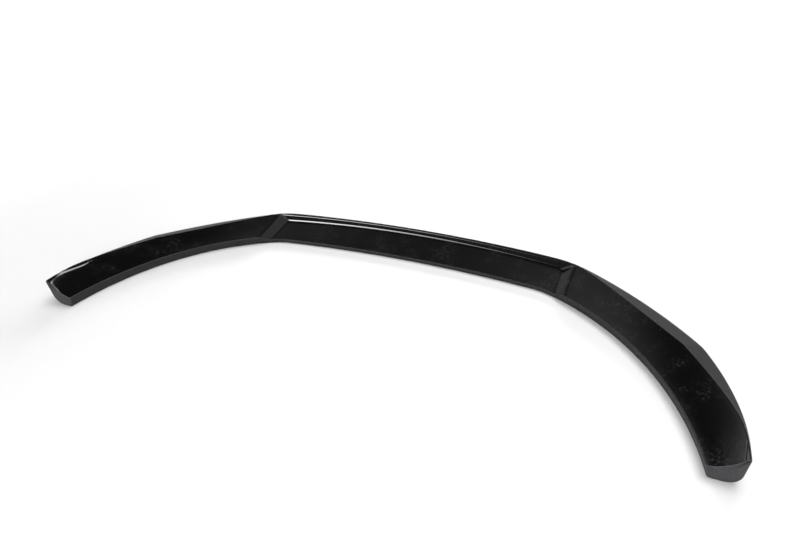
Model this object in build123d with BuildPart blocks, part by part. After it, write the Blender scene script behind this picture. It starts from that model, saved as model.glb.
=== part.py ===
from build123d import *
import os
from math import asin, cos, hypot, pi, radians, sin, tan

# A front splitter lip moulded in one piece: a bowed middle with a recessed floor and a coved front
# rim, and two wings that sweep back, narrow and turn up into a rim at their ends.
# Millimetres. X runs across the car, +Y points to the front and the flat underside lies on Z = 0.

# Plan of the inner edge, measured from its middle
corner_spread = 688        # between the two corners where the wings leave the middle
corner_setback = 20        # from the middle of the edge back to the corners
end_spread = 1396          # between the inner edges of the two ends
end_setback = 412          # from the middle of the edge back to the end faces
wing_bulge = 65            # sagitta of the wing's inner edge
corner_angle = 64          # direction of the section at the corner, from the X axis
turn_power = 1             # how late the sections turn on their way to the end

# Depth of the blade, from the inner edge out to the leading edge
middle_depth = 115         # at the centre
wing_depth = 116           # along the first part of the wing
end_depth = 53             # at the end face
taper_start = 0.53         # share of the wing after which it narrows
taper_power = 1.05         # how softly the narrowing sets in

# Inner wall
inner_height = 22          # at the corner, before the recess is cut
inner_height_end = 28      # at the end face
inner_lean = 6             # its top overhangs its foot by this much

# Crest, where the top face ends
crest_height_middle = 21   # at the centre
crest_height = 24          # at the corner
crest_height_end = 70      # at the end face
crest_power = 1.75         # how late the crest rises on its way to the end
tip_fall = 5               # the rise levels off by this much towards the end
tip_power = 16             # how late it does
dish = 1                   # the top face sags by this much at the corner
dish_end = 9               # the same at the end face
late_power = 3             # how late the inner wall, the dish and the foot change

# Outer band between the crest and the leading edge
rim_width = 3              # where the band is only a rounded rim
rim_drop = 5
band_width = 43            # added to the rim where the band is widest
band_drop = 12
band_share = 0.88          # share of the wing after which the band is a rim again

# Foot of the outer wall
foot_inset = 8             # from the leading edge in to the foot, at the corner
foot_inset_end = 4         # the same at the end face
foot_round = 8             # radius at the corner
foot_round_end = 26        # radius at the end face

# Recess in the middle
floor_height = 10          # thickness left under the recess
floor_reach = 22           # the level floor runs this far past the corners
ramp_radius = 83           # each end of the floor curves up to its wing with this radius
ramp_turn = 40             # angle of that curve in degrees, enough to come out above the wing
land_width = 4             # flat left on top of the front rim, at the centre
land_width_end = 11        # the same where the rim meets the ramps
rim_share = 0.03           # share of the wing that the front wall runs along
recess_draft = 30          # slope of the front wall from the vertical, in degrees
cove_radius = 10           # where the floor turns up into the front wall

# Finish of the other edges
edge_round = 2             # radius of the leading edge
recess_round = 1.5         # radius of the recess's rim
inner_bevel = 1.5          # bevel along the top of the inner wall
end_bevel = 1.5            # bevel round the end faces

wing_sections = 13
front_y = (middle_depth + end_setback) / 2      # the leading edge at the centre
inner_y = front_y - middle_depth                # the inner edge at the centre


def inner_edge(share):
    """Plan point on the wing's inner edge, an arc from the corner (0) to the end (1)."""
    span_x = (end_spread - corner_spread) / 2
    span_y = corner_setback - end_setback + end_bevel
    chord = hypot(span_x, span_y)
    radius = chord**2 / (8 * wing_bulge) + wing_bulge / 2
    turn = asin(chord / (2 * radius)) * (2 * share - 1)
    along = radius * sin(turn) / chord
    out = (radius * cos(turn) - radius + wing_bulge) / chord
    x = corner_spread / 2 + span_x / 2 + span_x * along - span_y * out
    y = inner_y - corner_setback + span_y / 2 + span_y * along + span_x * out
    return x, y


def wing_angle(share):
    """Direction of the wing's section from the X axis, at a share of the way to the end."""
    return radians(corner_angle * (1 - share**turn_power))


def upright_plane(x, y, angle):
    """Upright plane whose x runs outwards from the inner edge at an angle, and whose y points up."""
    return Plane(origin=(x, y, 0), x_dir=(cos(angle), sin(angle), 0), z_dir=(sin(angle), -cos(angle), 0))


def section(plane, share, depth, crest, lens, bevel=0):
    """Closed outline of the blade on an upright plane, at a share of the way along the wing.

    A bevel moves the outline that far along the plane's normal and in from its edges.
    """
    late = share**late_power
    inner = inner_height + (inner_height_end - inner_height) * late
    sag = dish + (dish_end - dish) * late
    inset = foot_inset + (foot_inset_end - foot_inset) * late
    foot_radius = foot_round + (foot_round_end - foot_round) * late
    inner_top = (-inner_lean, inner)
    crest_point = (depth - rim_width - band_width * lens, crest)
    leading_edge = (depth, crest - rim_drop - band_drop * lens)
    outer_foot = (depth - inset, 0)
    with BuildSketch(plane.offset(bevel)) as outline:
        with BuildLine():
            Line((0, 0), inner_top)
            SagittaArc(inner_top, crest_point, -sag)
            Polyline(crest_point, leading_edge, outer_foot, (0, 0))
        make_face()
        chamfer(outline.vertices().sort_by_distance(inner_top)[0], inner_bevel)
        fillet(outline.vertices().sort_by_distance(leading_edge)[0], edge_round)
        fillet(outline.vertices().sort_by_distance(outer_foot)[0], foot_radius)
        if bevel:
            offset(amount=-bevel, mode=Mode.REPLACE)
    return outline.sketch


def wing_section(share, bevel=0):
    """Outline of the right wing's blade at a share of the way from the corner to the end."""
    taper = max((share - taper_start) / (1 - taper_start), 0)
    depth = wing_depth - (wing_depth - end_depth) * taper**taper_power
    rise = crest_height_end + tip_fall - crest_height
    crest = crest_height + rise * share**crest_power - tip_fall * share**tip_power
    lens = sin(pi * min(share / band_share, 1))
    plane = upright_plane(*inner_edge(share), wing_angle(share))
    return section(plane, share, depth, crest, lens, bevel)


# Right wing, lofted from the corner to the end face
with BuildPart() as wing:
    for index in range(wing_sections):
        add(wing_section(index / (wing_sections - 1)))
    loft()
    add(wing_section(1))
    add(wing_section(1, end_bevel))
    loft(ruled=True)

# Middle, lofted from corner to corner through the centre
with BuildPart() as middle:
    corner_x, corner_y = inner_edge(0)
    left_corner = upright_plane(-corner_x, corner_y, pi - wing_angle(0))
    right_corner = upright_plane(corner_x, corner_y, wing_angle(0))
    add(section(left_corner, 0, wing_depth, crest_height, 0))
    add(section(upright_plane(0, inner_y, pi / 2), 0, middle_depth, crest_height_middle, 0))
    add(section(right_corner, 0, wing_depth, crest_height, 0))
    loft()

# Space over the recessed floor: a drafted front wall with a coved foot, and ramps up to the wings
with BuildPart() as recess:
    wall_slope = tan(radians(recess_draft))
    wall_reach = wing_depth - rim_width
    rim_x, rim_y = inner_edge(rim_share)
    half_wall = rim_x + wall_reach * cos(wing_angle(rim_share))
    wall_side = rim_y + wall_reach * sin(wing_angle(rim_share)) - land_width_end
    wall_front = front_y - rim_width - land_width
    floor_side = wall_side - (crest_height - floor_height) * wall_slope
    floor_front = wall_front - (crest_height_middle - floor_height) * wall_slope
    floor_back = corner_y - wing_depth
    with BuildSketch(Plane.XY.offset(floor_height)):
        with BuildLine():
            ThreePointArc((-half_wall, floor_side), (0, floor_front), (half_wall, floor_side))
            Polyline(
                (half_wall, floor_side),
                (half_wall, floor_back),
                (-half_wall, floor_back),
                (-half_wall, floor_side),
            )
        make_face()
    extrude(amount=crest_height, taper=-recess_draft)
    floor_edges = recess.faces().sort_by(Axis.Z)[0].edges()
    fillet(floor_edges.sort_by(Axis.Y)[-1], cove_radius)

    half_floor = corner_x + floor_reach
    half_space = half_floor + ramp_radius
    space_top = floor_height + crest_height
    with BuildSketch(Plane.XZ.offset(-front_y)):
        with BuildLine():
            right_ramp = JernArc((half_floor, floor_height), (1, 0), ramp_radius, ramp_turn)
            left_ramp = JernArc((-half_floor, floor_height), (-1, 0), ramp_radius, -ramp_turn)
            Line(left_ramp @ 0, right_ramp @ 0)
            Polyline(right_ramp @ 1, (half_space, space_top), (-half_space, space_top), left_ramp @ 1)
        make_face()
    extrude(amount=2 * front_y, mode=Mode.INTERSECT)

# The whole lip, with the rim of its recess rounded
with BuildPart() as front_lip:
    add(wing.part)
    mirror(about=Plane.YZ)
    add(middle.part)
    add(recess.part, mode=Mode.SUBTRACT)
    cut_edges = front_lip.edges(Select.LAST).filter_by(lambda edge: abs(edge.center().X) < half_space)
    upper_edges = cut_edges.filter_by(lambda edge: edge.bounding_box().min.Z > crest_height_middle)
    fillet(upper_edges.filter_by(lambda edge: edge.center().Y > corner_y), recess_round)

front_lip.part.label = "front_lip"
os.makedirs("parts", exist_ok=True)
export_step(front_lip.part, "parts/front_lip.step")
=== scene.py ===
from math import asin, cos, hypot, pi, radians, sin, tan

import bpy
import numpy as np
from mathutils import Matrix, Vector


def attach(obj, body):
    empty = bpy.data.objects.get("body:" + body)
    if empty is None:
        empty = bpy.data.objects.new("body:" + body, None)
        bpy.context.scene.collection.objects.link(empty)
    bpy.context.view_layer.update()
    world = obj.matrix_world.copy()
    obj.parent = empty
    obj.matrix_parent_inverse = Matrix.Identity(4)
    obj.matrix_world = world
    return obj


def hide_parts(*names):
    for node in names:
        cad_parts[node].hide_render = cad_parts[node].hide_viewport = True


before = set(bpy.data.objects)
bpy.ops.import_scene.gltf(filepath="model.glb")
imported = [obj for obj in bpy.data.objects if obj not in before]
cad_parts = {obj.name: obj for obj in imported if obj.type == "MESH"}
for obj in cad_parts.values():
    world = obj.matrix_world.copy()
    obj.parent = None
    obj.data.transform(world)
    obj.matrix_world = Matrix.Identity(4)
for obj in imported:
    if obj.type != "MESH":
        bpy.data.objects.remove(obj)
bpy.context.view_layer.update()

# A glossy black front splitter lip on a white studio floor.
# Metres, in the frame of the CAD part: X across the car, +Y to the front, underside on Z = 0.

# Plan of the inner edge, as in the CAD part
corner_spread = 0.688
corner_setback = 0.020
end_spread = 1.396
end_setback = 0.412
wing_bulge = 0.065
corner_angle = radians(64)
turn_power = 1
corner_blend = 0.018        # the plan is smoothed over about this length at the corners

# Blade, as in the CAD part apart from the lines with comments
middle_depth = 0.115
wing_depth = 0.116
end_depth = 0.053
taper_start = 0.53
taper_power = 1.05
inner_height = 0.022
inner_height_end = 0.028
inner_lean = 0.006
crest_height_middle = 0.021
crest_height = 0.024
crest_height_end = 0.070
crest_power = 1.75
tip_fall = 0.005
tip_power = 8               # the crest levels off a little earlier
dish = 0.001
dish_end = 0.009
late_power = 3
rim_lift = 0.003            # the top face turns up this much more along the crest at the end
rim_start = 0.55            # share of the wing after which it does
rim_power = 16              # how close to the crest it turns up
rim_ease = 1.5              # how softly that sets in along the wing
rim_width = 0.003
rim_drop = 0.005
band_width = 0.043
band_drop = 0.012
band_share = 0.88
band_blend = 0.028          # the band's ends are smoothed over about this length
foot_inset = 0.008
foot_inset_end = 0.004

# Recess in the middle
floor_height = 0.010
floor_reach = 0.030         # the level floor runs this far past the corners
ramp_slope = radians(26)    # straight ramps from the floor up to the wings
ramp_blend = 0.0016         # roll-over at the top of the ramps, as a difference in height
land_width = 0.0090         # flat left on top of the front rim, at the centre
corner_half = 0.018         # half the length of the corner between the front wall and a ramp
corner_tilt = 0.20          # its faces lean by at least this much along X and along Y
wall_half = 0.3935          # half the length of the front wall
wall_fall = 0.036           # its ends lie this far behind its middle
recess_draft = radians(30)  # slope of the front wall from the vertical
cove_radius = 0.010         # where the floor turns up into the front wall
recess_blend = 0.0025       # rounding of the front wall's rim, as a difference in height
crown = 0.0014              # the front rim falls by this much towards its crest
crown_reach = 0.008         # over this width
crown_fade = 0.06           # share of the wing where that ends

# Rounded edges
edge_round = 0.002
crest_round = 0.0015
bottom_round = 0.001        # foot of the inner wall at the corner
bottom_round_end = 0.007    # the same at the end face
foot_round = 0.008
foot_round_end = 0.026
cap_round = 0.0025          # round the end faces
arc_limit = 0.48            # an arc takes no more than this share of the shorter side
foot_limit = 0.9            # the same at the foot of the outer wall

# Density of the mesh
station_pitch = 0.0030      # along the lip
top_points = 84             # across the top face
even_share = 0.55           # share of those points that are spread evenly
crowding = 3                # how closely the others gather at the crest
arc_points = 7              # along a rounded corner
side_shares = (0.04, 0.3, 0.7, 0.96)    # where the points of a straight side lie along it
cap_rings = 4               # round each end
hub_height = 0.018          # the faces of an end meet at a point this high
tiny = 1e-12                # keeps faces without an area from dividing by zero

front_y = (middle_depth + end_setback) / 2
inner_y = front_y - middle_depth
corner_x = corner_spread / 2
corner_y = inner_y - corner_setback


def inner_edge(share):
    """Plan point on the wing's inner edge, an arc from the corner (0) to the end (1)."""
    span_x = (end_spread - corner_spread) / 2
    span_y = corner_setback - end_setback + cap_round
    chord = hypot(span_x, span_y)
    radius = chord**2 / (8 * wing_bulge) + wing_bulge / 2
    turn = asin(chord / (2 * radius)) * (2 * share - 1)
    along = radius * np.sin(turn) / chord
    out = (radius * np.cos(turn) - radius + wing_bulge) / chord
    x = corner_x + span_x / 2 + span_x * along - span_y * out
    y = corner_y + span_y / 2 + span_y * along + span_x * out
    return x, y


def wing_angle(share):
    """Direction of the wing's section from the X axis."""
    return corner_angle * (1 - share**turn_power)


def stations():
    """Rows along the lip from its left to its right end: inner edge x, y, outward direction x, y,
    share of the wing, and share of the middle's half length."""
    middle = np.linspace(0, 1, round(corner_x / station_pitch), endpoint=False)
    wing_length = hypot(end_spread / 2 - corner_x, end_setback - corner_setback) + wing_bulge
    wing = np.linspace(0, 1, round(wing_length / station_pitch))
    wing_x, wing_y = inner_edge(wing)
    angle = wing_angle(wing)
    right = np.vstack([
        np.column_stack([
            corner_x * middle,
            inner_y - corner_setback * middle**2,
            cos(corner_angle) * middle,
            1 + (sin(corner_angle) - 1) * middle**2,
            0 * middle,
            middle,
        ]),
        np.column_stack([wing_x, wing_y, np.cos(angle), np.sin(angle), wing, 1 + 0 * wing]),
    ])
    left = right[:0:-1] * [-1, 1, -1, 1, 1, 1]
    return np.vstack([left, right])


def smoothed(values, width):
    """Columns of values, averaged over neighbouring stations with a bell curve of this width."""
    reach = int(3 * width)
    bell = np.exp(-0.5 * (np.arange(-reach, reach + 1) / width) ** 2)
    padded = np.pad(values, ((reach, reach), (0, 0)), mode="reflect", reflect_type="odd")
    return np.column_stack([np.convolve(column, bell / bell.sum(), "valid") for column in padded.T])


def smooth_min(a, b, width):
    """The lower of two heights, rounded where they differ by less than the width."""
    mix = np.clip(0.5 + 0.5 * (b - a) / width, 0, 1)
    return b + (a - b) * mix - width * mix * (1 - mix)


def arc_rise(distance, radius, turn):
    """Height of an arc that leaves the level at distance 0 and goes on straight after its turn."""
    bend = np.clip(distance, 0, radius * sin(turn))
    return radius - np.sqrt(radius**2 - bend**2) + np.clip(distance - bend, 0, None) * tan(turn)


def recessed(face, x, y):
    """Height of the top face with the recess's floor, front wall and ramps cut into it."""
    wall_turn = pi / 2 - recess_draft
    wall_run = (crest_height_middle - floor_height) * tan(recess_draft)
    wall_run = wall_run + cove_radius * tan(wall_turn / 2)
    wall_line = front_y - rim_width - land_width - wall_fall * (x / wall_half) ** 2
    wall = floor_height + arc_rise(wall_run - wall_line + y, cove_radius, wall_turn)
    ramp_run = np.clip(np.abs(x) - corner_x - floor_reach, 0, None)
    ramp = floor_height + ramp_run * tan(ramp_slope)
    return np.maximum(smooth_min(face, wall, recess_blend), smooth_min(face, ramp, ramp_blend))


def round_corner(before, corner, after, radius, count, limit=arc_limit):
    """Points of the arcs that round a corner of every section, from its first to its second side.

    An arc takes no more than this limit's share of the shorter side."""
    first = before - corner
    second = after - corner
    first_length = np.linalg.norm(first, axis=1)
    second_length = np.linalg.norm(second, axis=1)
    half = 0.5 * np.arccos(np.clip((first * second).sum(1) / (first_length * second_length), -1, 1))
    reach = np.minimum(radius / np.tan(half), limit * np.minimum(first_length, second_length))
    start = corner + first * (reach / first_length)[:, None]
    stop = corner + second * (reach / second_length)[:, None]
    t = np.linspace(0, 1, count)[None, :, None]
    weight = np.sin(half)[:, None, None]
    near, bend, far = (1 - t) ** 2, 2 * weight * t * (1 - t), t**2
    points = start[:, None] * near + corner[:, None] * bend + stop[:, None] * far
    return points / (near + bend + far)


def straight(start, stop, shares):
    """Points from the end of one arc to the start of the next, at these shares of the way."""
    t = np.array(shares)[None, :, None]
    return start[:, -1:] * (1 - t) + stop[:, :1] * t


def lip_sections():
    """Rings of points round every section, and for each point whether it's on the top face."""
    rows = stations()
    plan = smoothed(rows[:, :4], corner_blend / station_pitch)
    share, middle = rows[:, 4], rows[:, 5]
    late = share**late_power
    inner = inner_height + (inner_height_end - inner_height) * late
    sag = dish + (dish_end - dish) * late
    taper = np.clip((share - taper_start) / (1 - taper_start), 0, None)
    depth = wing_depth - (wing_depth - end_depth) * taper**taper_power
    depth = depth + (middle_depth - wing_depth) * (1 - middle**2)
    rise = crest_height_end + tip_fall - crest_height
    crest = crest_height + rise * share**crest_power - tip_fall * share**tip_power
    crest = crest + (crest_height_middle - crest_height) * (1 - middle**2)
    lens = np.sin(pi * np.minimum(share / band_share, 1))
    lens = smoothed(lens[:, None], band_blend / station_pitch)[:, 0]
    lift = rim_lift * np.clip((share - rim_start) / (1 - rim_start), 0, 1) ** rim_ease
    fall = crown * np.clip(1 - share / crown_fade, 0, 1) ** 2

    def place(offset):
        """Plan points at these distances out from the inner edge."""
        x = plan[:, :1] + offset * plan[:, 2:3]
        y = plan[:, 1:2] + offset * plan[:, 3:4]
        return x, y

    def top_height(offset):
        """Height of the top face at these distances out from the inner edge."""
        along = (offset + inner_lean) / (crest_offset + inner_lean)[:, None]
        face = inner[:, None] * (1 - along) + crest[:, None] * along
        face = face - 4 * sag[:, None] * along * (1 - along)
        face = face + lift[:, None] * (np.clip(along, 0, 1) ** rim_power - along)
        crest_distance = crest_offset[:, None] - offset
        face = face - fall[:, None] * np.clip(1 - crest_distance / crown_reach, 0, 1) ** 2
        return recessed(face, *place(offset))

    crest_offset = depth - rim_width - band_width * lens
    wall_top = top_height(np.full((len(share), 1), -inner_lean / 2))[:, 0]
    wall_offset = -inner_lean * wall_top / inner

    spread = np.linspace(0, 1, top_points)
    spread = even_share * spread + (1 - even_share) * (1 - (1 - spread) ** crowding)
    first_offset = wall_offset + edge_round
    last_offset = crest_offset - crest_round
    offset = first_offset[:, None] + (last_offset - first_offset)[:, None] * spread
    top = np.stack([offset, top_height(offset)], axis=2)

    inner_foot = np.zeros((len(share), 2))
    inner_top = np.column_stack([wall_offset, wall_top])
    crest_point = np.column_stack([crest_offset, crest - fall])
    leading_edge = np.column_stack([depth, crest - rim_drop - band_drop * lens])
    inset = foot_inset + (foot_inset_end - foot_inset) * late
    outer_foot = np.column_stack([depth - inset, 0 * depth])

    bottom_radius = bottom_round + (bottom_round_end - bottom_round) * late
    foot_radius = foot_round + (foot_round_end - foot_round) * late
    past_first = 2 * top[:, 0] - inner_top
    past_last = 2 * top[:, -1] - crest_point
    bottom_arc = round_corner(outer_foot, inner_foot, inner_top, bottom_radius, arc_points)
    inner_arc = round_corner(inner_foot, inner_top, past_first, edge_round, arc_points)
    crest_arc = round_corner(past_last, crest_point, leading_edge, crest_round, arc_points)
    leading_arc = round_corner(crest_point, leading_edge, outer_foot, edge_round, arc_points)
    foot_arc = round_corner(
        leading_edge, outer_foot, inner_foot, foot_radius, 2 * arc_points, foot_limit)
    pieces = [
        (bottom_arc, False),
        (straight(bottom_arc, inner_arc, side_shares), False),
        (inner_arc, False),
        (top[:, 1:-1], True),
        (crest_arc, True),
        (straight(crest_arc, leading_arc, side_shares), False),
        (leading_arc, False),
        (straight(leading_arc, foot_arc, side_shares), False),
        (foot_arc, False),
        (straight(foot_arc, bottom_arc, side_shares), False),
    ]
    outline = np.concatenate([points for points, _ in pieces], axis=1)
    on_top = np.concatenate([np.full(points.shape[1], flag) for points, flag in pieces])
    x, y = place(outline[:, :, 0])
    return np.stack([x, y, outline[:, :, 1]], axis=2), on_top


def cap(ring):
    """Rings that round off an end section and close in on its flat face."""
    tangent = np.roll(ring, -1, axis=0) - np.roll(ring, 1, axis=0)
    inward = np.column_stack([tangent[:, 2], 0 * tangent[:, 0], -tangent[:, 0]])
    inward /= np.linalg.norm(inward, axis=1)[:, None]
    centre = ring.mean(axis=0)
    if ((centre - ring) * inward).sum() < 0:
        inward = -inward
    rings = []
    for turn in np.linspace(0, pi / 2, cap_rings + 1)[1:]:
        back = np.array([0, cap_round * sin(turn), 0])
        rings.append(ring + inward * cap_round * (1 - cos(turn)) - back)
    return np.array(rings)


def tight_corner(rings):
    """Faces where the recess's front wall turns into a ramp. They get the grained finish in place
    of the gloss so that they mirror no light panel, and their paler colour stands in for the dull
    reflected line there.
    """
    beside = np.roll(rings, -1, axis=1)
    normal = np.cross(beside[1:] - rings[:-1], rings[1:] - beside[:-1])
    normal /= np.linalg.norm(normal, axis=2)[:, :, None] + tiny
    centre = (rings[:-1] + rings[1:] + beside[:-1] + beside[1:]) / 4
    corner_middle = corner_x + floor_reach + corner_half
    corner = np.abs(np.abs(centre[:, :, 0]) - corner_middle) < corner_half
    corner &= centre[:, :, 2] < crest_height
    corner &= (np.abs(normal[:, :, :2]) > corner_tilt).all(axis=2)
    for axis in (0, 1):
        corner = corner | np.roll(corner, 1, axis) | np.roll(corner, -1, axis)
    return corner


def lip_mesh():
    """The lip as one closed mesh: material 1 on the top face, 2 on the ends, 0 on the rest."""
    rings, on_top = lip_sections()
    left_cap = cap(rings[0])[::-1]
    right_cap = cap(rings[-1])
    rings = np.concatenate([left_cap, rings, right_cap])
    count, size = rings.shape[:2]
    row = np.arange(count - 1)[:, None] * size
    column = np.arange(size)[None, :]
    following = (column + 1) % size
    corners = (row + column, row + following, row + size + following, row + size + column)
    quads = np.stack(corners, axis=2)
    faces = [tuple(map(int, quad)) for quad in quads.reshape(-1, 4)]
    points = [tuple(point) for point in rings.reshape(-1, 3)]
    for first, outward in ((0, -1), ((count - 1) * size, 1)):
        ring = rings[first // size]
        foot = ring[ring[:, 2] < hub_height]
        points.append((foot[:, 0].mean(), ring[0, 1], hub_height))
        for index in range(size):
            edge = (first + index, first + (index + 1) % size)
            faces.append((*edge[::outward], len(points) - 1))
    slots = np.full((count - 1, size), 2)
    slots[cap_rings:-cap_rings] = on_top & np.roll(on_top, -1)
    # the recess's front corners: a painted dull reflected line in place of the gloss's glint
    slots[tight_corner(rings) & (slots == 1)] = 0
    mesh = bpy.data.meshes.new("front_lip_surface")
    mesh.from_pydata(points, [], faces)
    slot_list = np.append(slots.reshape(-1), np.full(2 * size, 2))
    mesh.polygons.foreach_set("material_index", slot_list)
    mesh.polygons.foreach_set("use_smooth", np.arange(len(faces)) < slots.size)
    mesh.update()
    return mesh


# Materials: colours, roughness, and scales of the patterns per metre
gloss_clean = (0.0034, 0.0034, 0.0037)
gloss_dusty = (0.0260, 0.0254, 0.0268)
gloss_roughness = 0.06
dusty_roughness = 0.16
cloud_scale = 17
dust_scale = 170
ripple_scale = 42
speck_colour = (0.10, 0.097, 0.10)
speck_scale = 130
speck_share = 0.035         # share of the pattern's cells that hold a speck
speck_size = 0.10           # its radius, as a share of a cell
speck_roughness = 0.6
satin_tint = (1, 0.965, 1.02)
edge_wear_and_highlight_gain = 1.5             # the edges are this much paler: whitened wear and a painted edge highlight
grain_scale = 1500
mottle_scale = 380
floor_dark = (0.80, 0.80, 0.80)
floor_pale = (0.84, 0.84, 0.84)
floor_glow = (0.06, 0.85)   # at the near and the far distance
glow_reach = (0.7, 3.0)


def new_material(name):
    """An empty node material and its principled shader."""
    material = bpy.data.materials.new(name)
    material.use_nodes = True
    return material, material.node_tree, material.node_tree.nodes["Principled BSDF"]


def noise(tree, scale, detail=3, roughness=0.5):
    """Noise over the object's own coordinates, as a number from 0 to 1."""
    place = tree.nodes.new("ShaderNodeTexCoord")
    node = tree.nodes.new("ShaderNodeTexNoise")
    node.inputs["Scale"].default_value = scale
    node.inputs["Detail"].default_value = detail
    node.inputs["Roughness"].default_value = roughness
    tree.links.new(place.outputs["Object"], node.inputs["Vector"])
    return node.outputs["Fac"]


def ranged(tree, value, low, high, to_low=0.0, to_high=1.0, soft=True):
    """A number moved from one range to another, as a rule with a soft start and stop."""
    node = tree.nodes.new("ShaderNodeMapRange")
    node.interpolation_type = "SMOOTHSTEP" if soft else "LINEAR"
    node.inputs["From Min"].default_value = low
    node.inputs["From Max"].default_value = high
    node.inputs["To Min"].default_value = to_low
    node.inputs["To Max"].default_value = to_high
    tree.links.new(value, node.inputs["Value"])
    return node.outputs["Result"]


def combined(tree, operation, first, second):
    """Two numbers put together by a math operation; the second may be a plain number."""
    node = tree.nodes.new("ShaderNodeMath")
    node.operation = operation
    tree.links.new(first, node.inputs[0])
    if isinstance(second, (int, float)):
        node.inputs[1].default_value = second
    else:
        tree.links.new(second, node.inputs[1])
    return node.outputs["Value"]


def blended(tree, factor, first, second):
    """Colour between two colours, by a factor."""
    node = tree.nodes.new("ShaderNodeMix")
    node.data_type = "RGBA"
    tree.links.new(factor, node.inputs["Factor"])
    for socket, colour in ((node.inputs[6], first), (node.inputs[7], second)):
        if isinstance(colour, tuple):
            socket.default_value = (*colour, 1)
        else:
            tree.links.new(colour, socket)
    return node.outputs[2]


def bumped(tree, shader, height, strength, distance):
    """Relief on a shader from a height."""
    node = tree.nodes.new("ShaderNodeBump")
    node.inputs["Strength"].default_value = strength
    node.inputs["Distance"].default_value = distance
    tree.links.new(height, node.inputs["Height"])
    tree.links.new(node.outputs["Normal"], shader.inputs["Normal"])


def specks(tree, scale, share, size):
    """Small scattered dots: 1 inside them, 0 elsewhere."""
    place = tree.nodes.new("ShaderNodeTexCoord")
    cells = tree.nodes.new("ShaderNodeTexVoronoi")
    cells.inputs["Scale"].default_value = scale
    tree.links.new(place.outputs["Object"], cells.inputs["Vector"])
    pick = tree.nodes.new("ShaderNodeSeparateColor")
    tree.links.new(cells.outputs["Color"], pick.inputs["Color"])
    chosen = combined(tree, "LESS_THAN", pick.outputs["Red"], share)
    dot = ranged(tree, cells.outputs["Distance"], size, 0.5 * size)
    return combined(tree, "MULTIPLY", chosen, dot)


def gloss_material():
    """Polished black moulding with a film of dust, faint smudges and a few specks."""
    material, tree, shader = new_material("gloss_black")
    cloud = ranged(tree, noise(tree, cloud_scale, 4, 0.6), 0.45, 0.66)
    fine = ranged(tree, noise(tree, dust_scale, 5, 0.7), 0.45, 0.70)
    dust = combined(tree, "MULTIPLY", cloud, fine)
    film = blended(tree, dust, gloss_clean, gloss_dusty)
    dots = specks(tree, speck_scale, speck_share, speck_size)
    tree.links.new(blended(tree, dots, film, speck_colour), shader.inputs["Base Color"])
    haze = ranged(tree, dust, 0, 1, gloss_roughness, dusty_roughness, soft=False)
    dull = combined(tree, "MULTIPLY", dots, speck_roughness)
    tree.links.new(combined(tree, "MAXIMUM", haze, dull), shader.inputs["Roughness"])
    bumped(tree, shader, noise(tree, ripple_scale, 2), 0.03, 0.001)
    return material


def satin_material(name, dark, pale):
    """Finely grained black moulding between two shades, a little paler along its edges, partly from
    wear and partly as a painted edge highlight.
    """
    material, tree, shader = new_material(name)
    grain = noise(tree, grain_scale, 2, 0.6)
    mottle = noise(tree, mottle_scale, 3, 0.6)
    dark_colour, pale_colour, edge_wear_and_highlight_colour = (
        tuple(level * tint for tint in satin_tint) for level in (dark, pale, edge_wear_and_highlight_gain * pale))
    shade = blended(tree, ranged(tree, mottle, 0.35, 0.68), dark_colour, pale_colour)
    surface = tree.nodes.new("ShaderNodeNewGeometry")
    # painted edge highlight together with whitened wear: paler where the surface is sharply convex
    edge = ranged(tree, surface.outputs["Pointiness"], 0.53, 0.60)
    shade = blended(tree, combined(tree, "MULTIPLY", edge, mottle), shade, edge_wear_and_highlight_colour)
    tree.links.new(shade, shader.inputs["Base Color"])
    tree.links.new(ranged(tree, mottle, 0.3, 0.7, 0.50, 0.60), shader.inputs["Roughness"])
    shader.inputs["Specular IOR Level"].default_value = 0.18
    bumped(tree, shader, grain, 0.35, 0.0004)
    return material


def studio_material():
    """White studio floor; its own glow makes up for the light's fall further out."""
    material, tree, shader = new_material("studio_floor")
    tone = blended(tree, noise(tree, 2.5, 3), floor_dark, floor_pale)
    tree.links.new(tone, shader.inputs["Base Color"])
    shader.inputs["Roughness"].default_value = 0.9
    shader.inputs["Specular IOR Level"].default_value = 0.1
    rays = tree.nodes.new("ShaderNodeLightPath")
    seen = combined(tree, "MAXIMUM", rays.outputs["Is Camera Ray"], rays.outputs["Is Glossy Ray"])
    seen = combined(tree, "MAXIMUM", seen, rays.outputs["Is Transmission Ray"])
    place = tree.nodes.new("ShaderNodeTexCoord")
    reach = tree.nodes.new("ShaderNodeVectorMath")
    reach.operation = "LENGTH"
    tree.links.new(place.outputs["Object"], reach.inputs[0])
    glow = ranged(tree, reach.outputs["Value"], *glow_reach, *floor_glow)
    shader.inputs["Emission Color"].default_value = (1, 1, 1, 1)
    tree.links.new(combined(tree, "MULTIPLY", seen, glow), shader.inputs["Emission Strength"])
    return material


# The lip
lip = bpy.data.objects.new("front_lip_visual", lip_mesh())
bpy.context.collection.objects.link(lip)
lip.data.materials.append(satin_material("satin_black", 0.014, 0.033))
lip.data.materials.append(gloss_material())
# A paler copy of the grained black on the ends: partly their rawer cut surface, partly painted
# light that makes them lighter than the shaded walls
lip.data.materials.append(satin_material("end_black", 0.044, 0.070))
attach(lip, "root")
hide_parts("front_lip")


def disc_mesh(radius, turns=96):
    """Flat round floor."""
    around = np.linspace(0, 2 * pi, turns, endpoint=False)
    mesh = bpy.data.meshes.new("studio")
    points = [(radius * cos(turn), radius * sin(turn), 0) for turn in around]
    mesh.from_pydata(points, [], [tuple(range(turns))])
    mesh.update()
    return mesh


# Floor
floor_radius = 9.0
floor_gap = 0.0003          # keeps the floor clear of the underside
floor = bpy.data.objects.new("floor", disc_mesh(floor_radius))
bpy.context.collection.objects.link(floor)
floor.location = (0, 0, -floor_gap)
floor.data.materials.append(studio_material())

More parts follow.
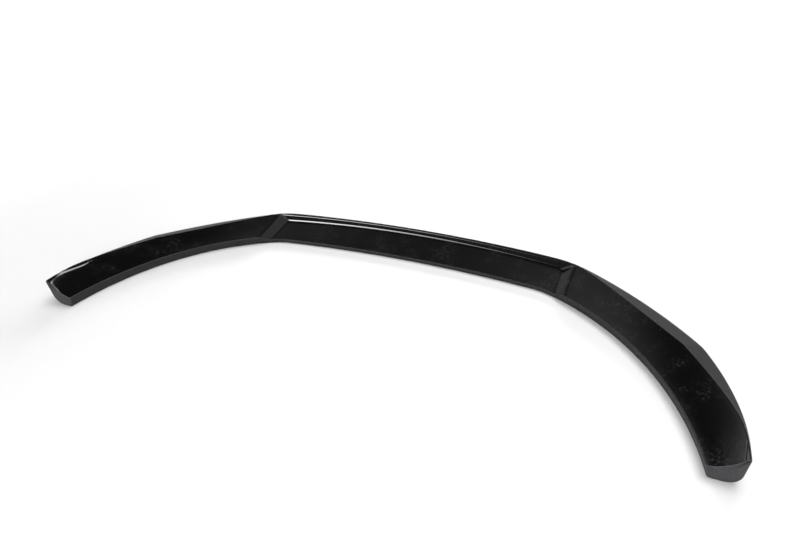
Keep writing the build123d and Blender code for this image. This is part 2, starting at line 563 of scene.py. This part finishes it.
# Camera, at the photograph's viewing angle
view_heading = radians(25.44)
view_pitch = radians(36.68)
view_roll = radians(-4.98)
view_place = (0.5294, -0.9991, 0.9237)
view_lens = 28.244          # in millimetres, on a sensor of this width
view_sensor = 36
camera = bpy.data.objects.new("camera", bpy.data.cameras.new("camera"))
bpy.context.collection.objects.link(camera)
camera.data.sensor_width = view_sensor
camera.data.lens = view_lens
turned = Matrix.Rotation(view_heading, 4, "Z") @ Matrix.Rotation(pi / 2 - view_pitch, 4, "X")
turned = turned @ Matrix.Rotation(view_roll, 4, "Z")
camera.matrix_world = Matrix.Translation(view_place) @ turned
bpy.context.scene.camera = camera

# Light: a dim room that is lighter low down and in a patch ahead, soft light from above, from low
# ahead and from behind the lip, and two panels that only show as reflections
room_colour = (1, 0.97, 0.98, 1)
room_low, room_high = 0.62, 0.03        # strength near the horizon and overhead
patch_direction = (0.048, 0.680, 0.731)
patch_radius = radians(26)
patch_power = 3.5           # how fast it fades towards its rim
patch_strength = 0.52
bpy.context.scene.view_settings.view_transform = "Standard"
world = bpy.data.worlds.new("room")
world.use_nodes = True
bpy.context.scene.world = world
room = world.node_tree
facing = room.nodes.new("ShaderNodeTexCoord").outputs["Generated"]
split = room.nodes.new("ShaderNodeSeparateXYZ")
room.links.new(facing, split.inputs["Vector"])
height = ranged(room, split.outputs["Z"], 0.03, 0.80, room_low, room_high)
side = ranged(room, split.outputs["X"], -0.35, -0.68, 0.5, 1.0)
toward = room.nodes.new("ShaderNodeVectorMath")
toward.operation = "DOT_PRODUCT"
toward.inputs[1].default_value = patch_direction
room.links.new(facing, toward.inputs[0])
near = ranged(room, toward.outputs["Value"], cos(patch_radius), 1.0, soft=False)
patch = combined(room, "MULTIPLY", combined(room, "POWER", near, patch_power), patch_strength)
glow = combined(room, "ADD", combined(room, "MULTIPLY", height, side), patch)
room.links.new(glow, room.nodes["Background"].inputs["Strength"])
room.nodes["Background"].inputs["Color"].default_value = room_colour


def area_light(name, place, target, size, strength):
    """A rectangular light at a place, turned towards a target."""
    data = bpy.data.lights.new(name, "AREA")
    data.shape = "RECTANGLE"
    data.size, data.size_y = size
    data.energy = strength
    light = bpy.data.objects.new(name, data)
    bpy.context.collection.objects.link(light)
    light.location = place
    light.rotation_euler = (Vector(target) - Vector(place)).to_track_quat("-Z", "Y").to_euler()
    return light


# Name, place, target, size and power in watts
soft_lights = (
    ("overhead_soft", (1.2, 0.9, 4.2), (0.1, 0, 0), (3.0, 3.0), 150),
    ("low_ahead", (0, 3.0, 0.7), (0, 0, 0), (3.0, 0.8), 125),
    ("fill", (0.6, -2.7, 1.6), (0, 0, 0), (1.6, 1.2), 60),
)
end_panel = ("end_sheen", (0.991, 0.775, 2.423), (-0.70, -0.20, 0.055), (0.13, 1.82), 8.5)
rim_panel = ("rim_sheen", (-1.30, -0.75, 2.4), (-1.30, -0.75, 0), (1.50, 1.7), 190)
for values in soft_lights:
    area_light(*values).visible_glossy = False
area_light(*end_panel).visible_diffuse = False
rim_sheen = area_light(*rim_panel)
rim_sheen.visible_diffuse = False

# The reflection on the front rim fades out to the right
rim_sheen.data.use_nodes = True
tree = rim_sheen.data.node_tree
panel = tree.nodes.new("ShaderNodeNewGeometry")
across = tree.nodes.new("ShaderNodeSeparateXYZ")
tree.links.new(panel.outputs["Parametric"], across.inputs["Vector"])
fade = ranged(tree, across.outputs["X"], 1.0, 0.45)
tree.links.new(fade, tree.nodes["Emission"].inputs["Strength"])
